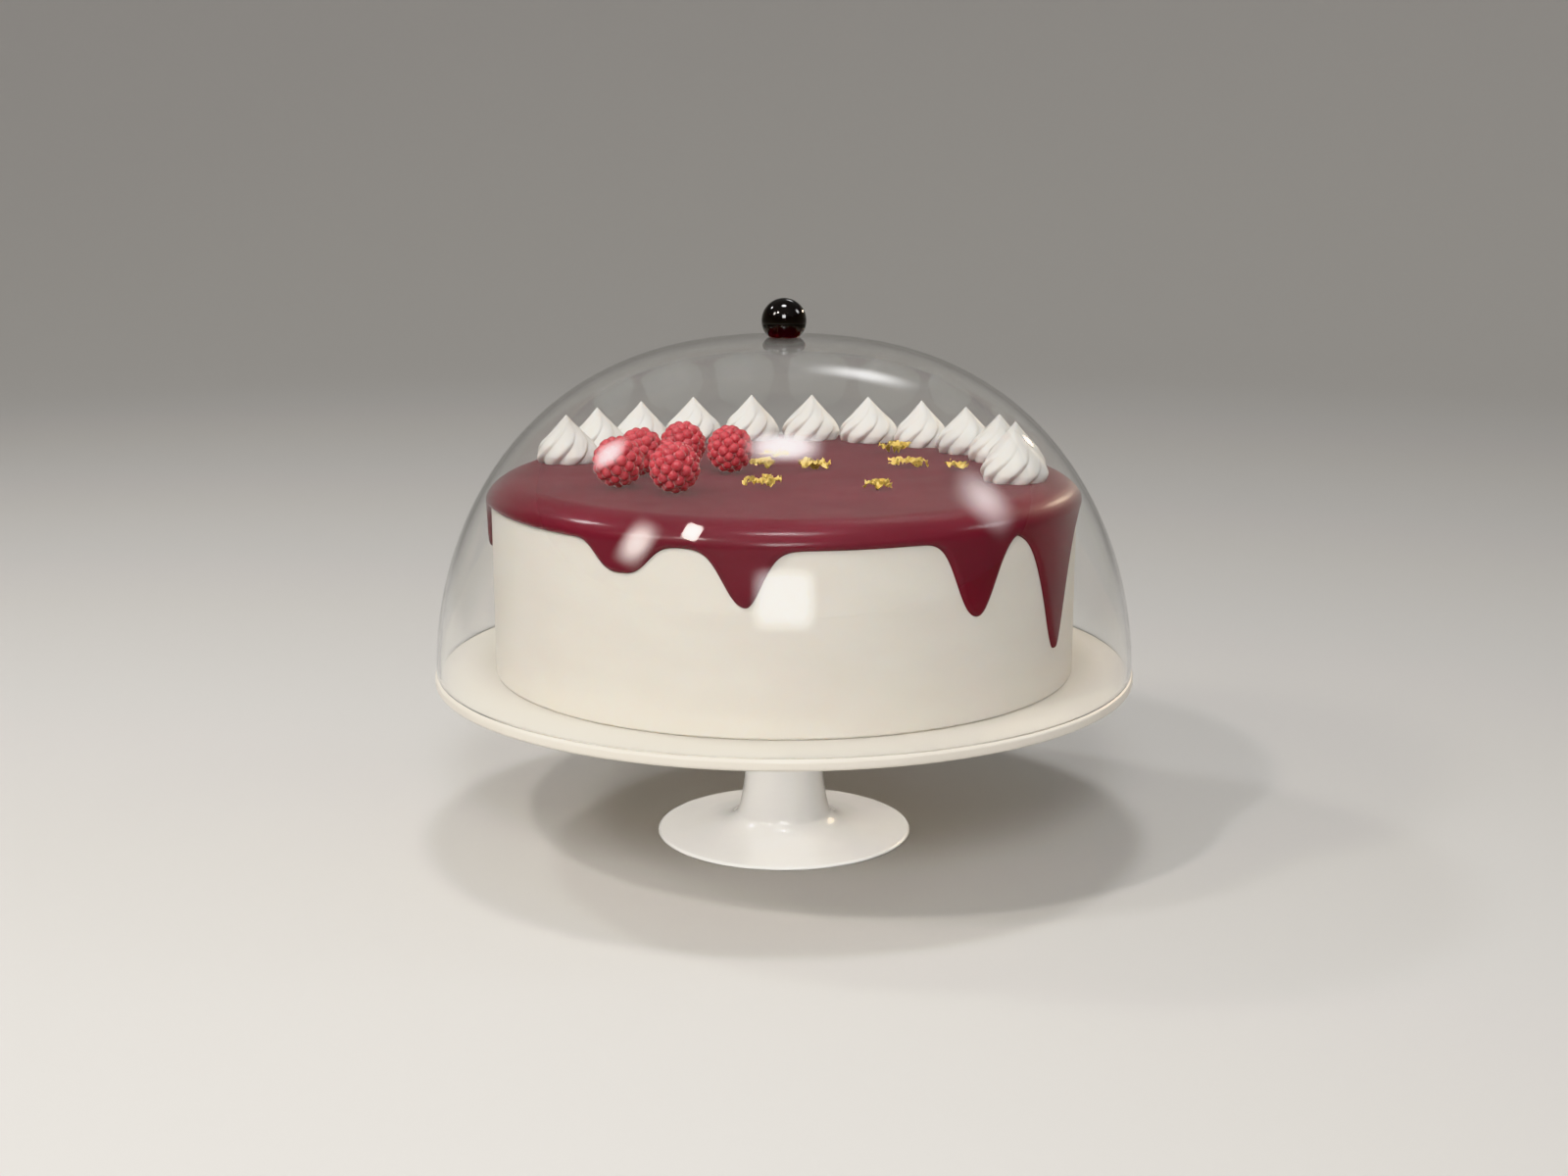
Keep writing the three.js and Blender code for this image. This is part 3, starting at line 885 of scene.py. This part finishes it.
# Softboxes where the cover's highlights in the photograph say that they stood: the point in millimetres
# that each one faces and the direction it faces it from, its distance and size in metres, its radiance as
# the cover mirrors it and on the food, its colour and the share of its width over which its edges fade.
SOFTBOXES = {
    "front": ((0, -124, 122), (0, -0.85, 0.53), 1.25, (0.52, 0.52), 14.5, 17, WHITE, 0.3),
    "left_front": ((-50, -105, 137), (-0.69, -0.34, 0.64), 1.25, (0.32, 0.4), 26, 36, SOFT_WHITE, 0.5),
    "left_back": ((-61, -75, 163), (-0.62, 0.32, 0.72), 1.25, (0.29, 0.23), 25, 51, WHITE, 0.5),
    "overhead": ((0, -91, 168), (0, 0, 1), 1.25, (0.5, 0.4), 35, 28, WHITE, 0.5),
    "key": ((-31, -110, 141), (-0.45, -0.47, 0.76), 1.3, (0.15, 0.15), 190, 190, SOFT_WHITE, 0.4),
    "warm_rim": ((89, -40, 162), (0.522, 0.796, 0.3), 0.81, (0.032, 0.032), 1500, 1500, WARM, 0.4),
    "right": ((70, -84, 148), (0.78, 0.14, 0.61), 1.25, (0.52, 0.52), 10, 4, WHITE, 0.5),
    "back": ((28, -51, 187), (0.18, 0.74, 0.64), 1.25, (0.44, 0.28), 5, 0, WHITE, 0.5),
}
SHINE_ON_GLAZE = ("right", "back")  # these show in the glaze as they do in the cover


def make_floor():
    """A pale floor that sweeps up all round."""
    sweep = quarter_ellipse(0, 0, FLOOR_SWEEP, FLOOR_SWEEP, steps=16)
    outline = [(0, 0), *[(FLOOR_FLAT + out, FLOOR_SWEEP - down) for down, out in sweep]]
    paper = new_material("studio_paper", Base_Color=(0.62, 0.605, 0.585, 1), Roughness=0.8)
    made = made_of("studio_floor", turned(outline, steps=96), paper)
    return made


def soften_edges(lamp, edge):
    """Fades the lamp's face to dark over this share of its width, along all four edges."""
    lamp.use_nodes = True
    nodes, links = lamp.node_tree.nodes, lamp.node_tree.links
    where = nodes.new("ShaderNodeNewGeometry")
    split = nodes.new("ShaderNodeSeparateXYZ")
    links.new(where.outputs["Parametric"], split.inputs["Vector"])
    both = nodes.new("ShaderNodeMath")
    both.operation = "MULTIPLY"
    for side, axis in enumerate("XY"):
        centred = nodes.new("ShaderNodeMath")
        centred.operation = "SUBTRACT"
        centred.inputs[1].default_value = 0.5
        away = nodes.new("ShaderNodeMath")
        away.operation = "ABSOLUTE"
        fade = nodes.new("ShaderNodeMapRange")
        fade.interpolation_type = "SMOOTHSTEP"
        fade.inputs["From Min"].default_value = 0.5
        fade.inputs["From Max"].default_value = 0.5 - edge
        links.new(split.outputs[axis], centred.inputs[0])
        links.new(centred.outputs["Value"], away.inputs[0])
        links.new(away.outputs["Value"], fade.inputs["Value"])
        links.new(fade.outputs["Result"], both.inputs[side])
    links.new(both.outputs["Value"], nodes["Emission"].inputs["Strength"])


def make_lamp(name, softbox, radiance, size_share=1):
    """One lamp of a softbox, of this radiance. A smaller share of its size keeps its power."""
    onto, toward, distance, (width, height), *_, color, edge = softbox
    lamp = bpy.data.lights.new(name, "AREA")
    lamp.shape = "RECTANGLE"
    lamp.size, lamp.size_y = width * size_share, height * size_share
    lamp.energy = radiance * math.pi * width * height
    lamp.color = color
    soften_edges(lamp, edge)
    place = bpy.data.objects.new(name, lamp)
    aim = Vector(toward).normalized()
    place.location = Vector(onto) * MM + aim * distance
    place.rotation_euler = aim.to_track_quat("Z", "Y").to_euler()
    place.visible_camera = False
    place.visible_transmission = False
    bpy.context.scene.collection.objects.link(place)
    return place


def collection_of(name, *members):
    collection = bpy.data.collections.new(name)
    for member in members:
        collection.objects.link(member)
    return collection


def make_lights(cover, knob, pedestal, glaze, floor):
    """Each softbox is a few lamps: one that the cover and the knob mirror, one that shows in the glaze if it
    should, a smaller one that lights the food and the room, and one for the pedestal alone, which the
    photograph shows as if the plate didn't shade it. The warm one leaves the floor out."""
    mirror = collection_of("mirror", cover, knob)
    glaze_alone = collection_of("glaze_alone", glaze)
    under_plate = collection_of("under_plate", pedestal)
    all_but_floor = collection_of("all_but_floor", floor)
    all_but_floor.collection_objects[0].light_linking.link_state = "EXCLUDE"
    for name, softbox in SOFTBOXES.items():
        in_cover, on_food = softbox[4:6]
        mirrored = make_lamp(f"{name}_softbox_mirrored", softbox, in_cover)
        mirrored.light_linking.receiver_collection = mirror
        if name in SHINE_ON_GLAZE:
            shine = make_lamp(f"{name}_softbox_on_glaze", softbox, in_cover)
            shine.data.cycles.use_multiple_importance_sampling = False
            shine.light_linking.receiver_collection = glaze_alone
        if not on_food:
            continue
        warm = name == "warm_rim"
        food = make_lamp(f"{name}_softbox", softbox, on_food, FOOD_LAMP_SIZE)
        food.data.cycles.use_multiple_importance_sampling = False
        if warm:
            food.light_linking.receiver_collection = all_but_floor
        spread = WARM_SPREAD if warm else 1
        fill = make_lamp(f"{name}_softbox_under_plate", softbox, on_food * UNDER_PLATE_SHARE, spread)
        fill.data.cycles.use_multiple_importance_sampling = False
        fill.light_linking.receiver_collection = under_plate
        fill.light_linking.blocker_collection = under_plate


def make_world():
    """A dim room, lighter overhead and in front of the cake."""
    world = bpy.data.worlds.new("studio_room")
    bpy.context.scene.world = world
    world.use_nodes = True
    nodes, links = world.node_tree.nodes, world.node_tree.links
    where = nodes.new("ShaderNodeTexCoord")
    split = nodes.new("ShaderNodeSeparateXYZ")
    links.new(where.outputs["Generated"], split.inputs["Vector"])
    total = nodes.new("ShaderNodeMath")
    for i, (axis, start, end, low, high) in enumerate(ROOM_LIGHT):
        spread = nodes.new("ShaderNodeMapRange")
        spread.interpolation_type = "SMOOTHSTEP"
        spread.inputs["From Min"].default_value = start
        spread.inputs["From Max"].default_value = end
        spread.inputs["To Min"].default_value = low
        spread.inputs["To Max"].default_value = high
        links.new(split.outputs[axis], spread.inputs["Value"])
        links.new(spread.outputs["Result"], total.inputs[i])
    links.new(total.outputs["Value"], nodes["Background"].inputs["Strength"])
    nodes["Background"].inputs["Color"].default_value = ROOM_COLOR


def make_camera():
    """The photograph's own viewpoint."""
    lens = bpy.data.cameras.new("camera")
    lens.lens = LENS
    lens.sensor_width = SENSOR
    camera = bpy.data.objects.new("camera", lens)
    camera.location = CAMERA_PLACE
    camera.rotation_euler = (math.radians(CAMERA_TILT), 0, 0)
    bpy.context.scene.collection.objects.link(camera)
    bpy.context.scene.camera = camera


make_camera()
floor = make_floor()
make_world()
pedestal = make_pedestal()
make_plate()
make_frosting()
glaze = make_glaze()
make_swirls()
make_berries()
make_gold_leaf()
make_lights(make_cover(), make_knob(), pedestal, glaze, floor)
bpy.context.scene.view_settings.view_transform = "Khronos PBR Neutral"
